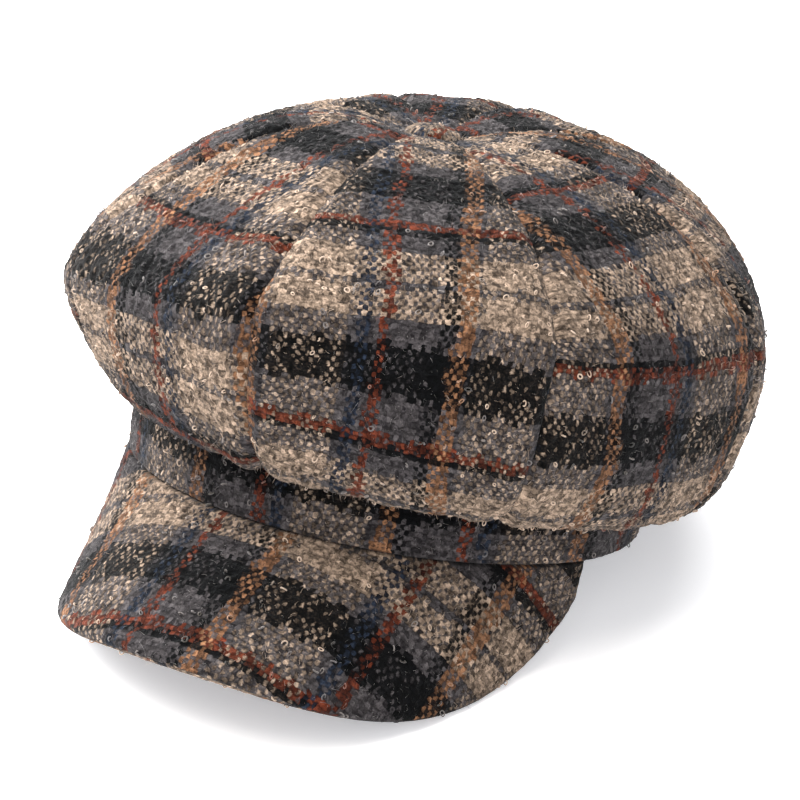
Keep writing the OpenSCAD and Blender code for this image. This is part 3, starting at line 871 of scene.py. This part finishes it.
def makeButton():
    angle, row = np.meshgrid(np.linspace(0, 2 * math.pi, button["cols"] + 1),
                             np.linspace(0.02, 1, button["rows"] + 1))
    bend = np.clip(row / 0.9, 0, 1) * math.pi / 2
    radius = button["radius"] * np.where(row < 0.9, np.sin(bend) ** 0.9, 1 - (row - 0.9) * 1.2)
    z = button["high"] * np.where(row < 0.9, np.cos(bend), -(row - 0.9) * 2.0)
    flat = np.stack([radius * np.sin(angle), -radius * np.cos(angle), z], -1)
    normal = flat / np.array([100.0, 100.0, 20.0])
    normal /= np.maximum(np.linalg.norm(normal, axis=-1, keepdims=True), 1e-6)
    calm = np.clip((1 - row) / 0.1, 0, 1)
    lump = (button["lump"] * smoothNoise(flat, tweed["nubSize"], 81)
            + button["swell"] * smoothNoise(flat, button["swellSize"], 82))
    pleats = button["pleat"] * np.sin(angle * button["pleats"]) * bell(row - 0.95, 0.14)
    outer = flat + buttonAt + normal * (lump * calm + pleats)[..., None]
    every = button["inner"]
    inner = flat[::every, ::every] * np.array([0.78, 0.78, 0.5]) + buttonAt
    cloth = flat[..., :2] + np.array(button["clothAt"])
    piece = sewnSheet("buttonCover", outer, inner, every, cloth, tweedCloth)
    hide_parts("button_cover")
    noteSites(outer, normal, cloth)


makeButton()


def editFaces(piece, way):
    # into edit mode with only the faces selected that look up (1) or down (-1)
    bpy.ops.object.mode_set(mode="EDIT")
    bpy.ops.mesh.select_mode(type="FACE")
    bpy.ops.mesh.select_all(action="DESELECT")
    bpy.ops.object.mode_set(mode="OBJECT")
    for face in piece.data.polygons:
        face.select = face.normal.z * way > 0.9
    bpy.ops.object.mode_set(mode="EDIT")


def makeButtonCore():
    # a moulded disc that rises in rounded steps, hollow underneath
    bpy.ops.object.select_all(action="DESELECT")
    bpy.ops.mesh.primitive_cylinder_add(vertices=48, radius=button["coreRadius"] * mm,
                                        depth=button["coreThick"] * mm,
                                        location=(0, 0, button["coreThick"] / 2 * mm))
    core = bpy.context.object
    core.name = "buttonCore"
    editFaces(core, 1)
    for inwards, up in button["coreSteps"]:
        bpy.ops.mesh.inset(thickness=inwards * mm)
        bpy.ops.transform.translate(value=(0, 0, up * mm))
    bpy.ops.object.mode_set(mode="OBJECT")
    editFaces(core, -1)
    bpy.ops.mesh.inset(thickness=button["hollowIn"] * mm)
    bpy.ops.mesh.extrude_region_move(TRANSFORM_OT_translate={"value": (0, 0, button["hollowDeep"] * mm)})
    bpy.ops.object.mode_set(mode="OBJECT")
    bevel = core.modifiers.new("edge", "BEVEL")
    bevel.width, bevel.segments, bevel.limit_method = button["coreEdge"] * mm, 2, "ANGLE"
    bpy.ops.object.modifier_apply(modifier="edge")
    centre = placed(buttonAt + np.array([0, 0, button["coreUp"]]))
    core.data.transform(Matrix.Translation(Vector(centre)) @ Matrix.Rotation(-tip, 4, "X"))
    bpy.ops.object.shade_smooth_by_angle(angle=math.radians(40))
    core.data.materials.clear()
    core.data.materials.append(buttonPlastic)
    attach(core, "root")
    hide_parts("button_core")


makeButtonCore()
print("visor filling and button made")


# curls and hairs that stand out of the tweed: how many, and their sizes in mm
loose = {"curls": 1200, "curlRound": 0.8, "curlThick": 0.25, "hairs": 9000, "hairLong": 1.5, "hairThick": 0.17}
sitePlace, siteNormal, siteCloth, siteArea = (np.concatenate([s[k] for s in woolSites]) for k in range(4))


def pickSites(count, seed):
    chance = np.random.default_rng(seed)
    found = chance.choice(len(siteArea), count, replace=False, p=siteArea / siteArea.sum())
    return sitePlace[found], siteNormal[found], siteCloth[found], chance


def makeCurls():
    count, ring, tube = loose["curls"], 10, 4
    place, normal, cloth, chance = pickSites(count, 101)
    lean = normal + 0.9 * chance.normal(size=(count, 3))
    axis = lean / np.linalg.norm(lean, axis=-1, keepdims=True)
    side = np.cross(axis, chance.normal(size=(count, 3)))
    side /= np.linalg.norm(side, axis=-1, keepdims=True)
    other = np.cross(axis, side) * chance.uniform(0.6, 1.0, (count, 1))
    size = loose["curlRound"] * chance.uniform(0.7, 1.25, (count, 1, 1, 1))
    turns = (np.linspace(0, 2 * math.pi, steps + 1)[:-1] for steps in (ring, tube))
    t, p = np.meshgrid(*turns, indexing="ij")
    wave = 1 + 0.12 * np.sin(2 * t + 1.0)
    spoke = side[:, None, None] * np.cos(t)[..., None] + other[:, None, None] * np.sin(t)[..., None]
    points = spoke * size * wave[..., None]
    points = points + loose["curlThick"] * (spoke * np.cos(p)[..., None]
                                            + axis[:, None, None] * np.sin(p)[..., None])
    points = points + (place + normal * 0.3)[:, None, None]
    i, j = np.meshgrid(np.arange(ring), np.arange(tube), indexing="ij")
    a, b = i * tube + j, (i + 1) % ring * tube + j
    c, d = (i + 1) % ring * tube + (j + 1) % tube, i * tube + (j + 1) % tube
    first = np.arange(count) * ring * tube
    quads = (np.stack([a, b, c, d], -1).reshape(1, -1, 4) + first[:, None, None]).reshape(-1, 4).tolist()
    uv = np.repeat(cloth, ring * tube, 0)
    makeObject("tweedCurls", placed(points.reshape(-1, 3)), quads, looseWool, uv)


def makeHairs(name, seed):
    count, steps = loose["hairs"], 3
    place, normal, cloth, chance = pickSites(count, seed)
    way = normal * 0.8 + 0.75 * chance.normal(size=(count, 3))
    way /= np.linalg.norm(way, axis=-1, keepdims=True)
    curve = 0.55 * chance.normal(size=(count, 3))
    side = np.cross(way, chance.normal(size=(count, 3)))
    side /= np.linalg.norm(side, axis=-1, keepdims=True)
    other = np.cross(way, side)
    length = loose["hairLong"] * chance.uniform(0.35, 1.2, (count, 1))
    points = []
    for s in range(steps + 1):
        t = s / steps
        spine = place + normal * -0.1 + (way * t + curve * t * t) * length
        for k in range(3):
            a = 2 * math.pi * k / 3
            spoke = side * math.cos(a) + other * math.sin(a)
            points.append(spine + spoke * loose["hairThick"] / 2 * (1 - 0.85 * t))
    points = np.stack(points, 1)
    faces = []
    for s in range(steps):
        for k in range(3):
            faces.append([s * 3 + k, s * 3 + (k + 1) % 3, s * 3 + 3 + (k + 1) % 3, s * 3 + 3 + k])
    first = np.arange(count) * (steps + 1) * 3
    quads = (np.array(faces)[None] + first[:, None, None]).reshape(-1, 4).tolist()
    caps = np.array([[2, 1, 0], [steps * 3, steps * 3 + 1, steps * 3 + 2]])
    quads += (caps[None] + first[:, None, None]).reshape(-1, 3).tolist()
    uv = np.repeat(cloth, (steps + 1) * 3, 0)
    makeObject(name, placed(points.reshape(-1, 3)), quads, looseWool, uv)


makeCurls()
makeHairs("tweedHairs1", 102)
makeHairs("tweedHairs2", 103)
print("curls and hairs made")


def paperMaterial():
    # plain matt paper, with a faint glow of its own that keeps the floor pale
    material, tree = newMaterial("mattPaper")
    place = addNode(tree, "TexCoord").outputs["Object"]
    grain = addNode(tree, "TexNoise", {"Vector": place, "Scale": 400.0, "Detail": 2.0}).outputs["Fac"]
    finishMaterial(tree, toLinear("#f6f6f6"), grain, 0.00008, 0.4, Roughness=0.9,
                   Emission_Color=toLinear("#fafaff"), Emission_Strength=0.38)
    return material


bpy.ops.object.select_all(action="DESELECT")
bpy.ops.mesh.primitive_plane_add(size=9, location=(0, 0, 0))
floor = bpy.context.object
floor.name = "floor"
floor.data.materials.append(paperMaterial())

# each soft light has its place and size in metres, its power in watts and its colour
studio = {"sky": 0.42, "skyColour": "#fbfcff", "aimUp": 0.06,
          "lights": [((-0.35, 0.35, 1.65), 2.2, 54, "#ffffff"), ((-1.5, 0.3, 0.95), 2.0, 134, "#ffffff"),
                     ((-0.25, -0.75, 1.7), 1.3, 26, "#fffaf4"), ((0.8, -1.1, 0.75), 1.6, 12, "#ffffff")]}
world = bpy.data.worlds.new("studio")
bpy.context.scene.world = world
world.use_nodes = True
world.node_tree.nodes.clear()
sky = addNode(world.node_tree, "Background", {"Color": toLinear(studio["skyColour"]),
                                              "Strength": studio["sky"]})
addNode(world.node_tree, "OutputWorld", {"Surface": sky.outputs[0]})
for number, (place, size, power, colour) in enumerate(studio["lights"]):
    lamp = bpy.data.lights.new(f"softLight{number + 1}", "AREA")
    lamp.shape, lamp.size, lamp.energy, lamp.color = "DISK", size, power, toLinear(colour)[:3]
    light = bpy.data.objects.new(lamp.name, lamp)
    light.location = place
    light.rotation_mode = "QUATERNION"
    light.rotation_quaternion = (Vector((0, 0, studio["aimUp"])) - Vector(place)).to_track_quat("-Z", "Y")
    bpy.context.scene.collection.objects.link(light)

# angles in degrees, and lengths in mm
view = {"azimuth": 24.5, "elevation": 25.8, "roll": 4.635, "lens": 125.2, "away": 983,
        "target": (8.5, -7.4, 64.7)}
a, e, r = (math.radians(view[k]) for k in ("azimuth", "elevation", "roll"))
back = Vector((math.sin(a) * math.cos(e), -math.cos(a) * math.cos(e), math.sin(e)))
right = Vector((math.cos(a), math.sin(a), 0))
up = back.cross(right)
right, up = right * math.cos(r) + up * math.sin(r), up * math.cos(r) - right * math.sin(r)
lens = bpy.data.cameras.new("camera")
lens.lens, lens.sensor_width, lens.clip_end = view["lens"], 36, 20
camera = bpy.data.objects.new("camera", lens)
eye = Vector(view["target"]) * mm + back * view["away"] * mm
camera.matrix_world = Matrix.Translation(eye) @ Matrix((right, up, back)).transposed().to_4x4()
bpy.context.scene.collection.objects.link(camera)
bpy.context.scene.camera = camera
bpy.context.scene.view_settings.view_transform = "Standard"
print("stage set")
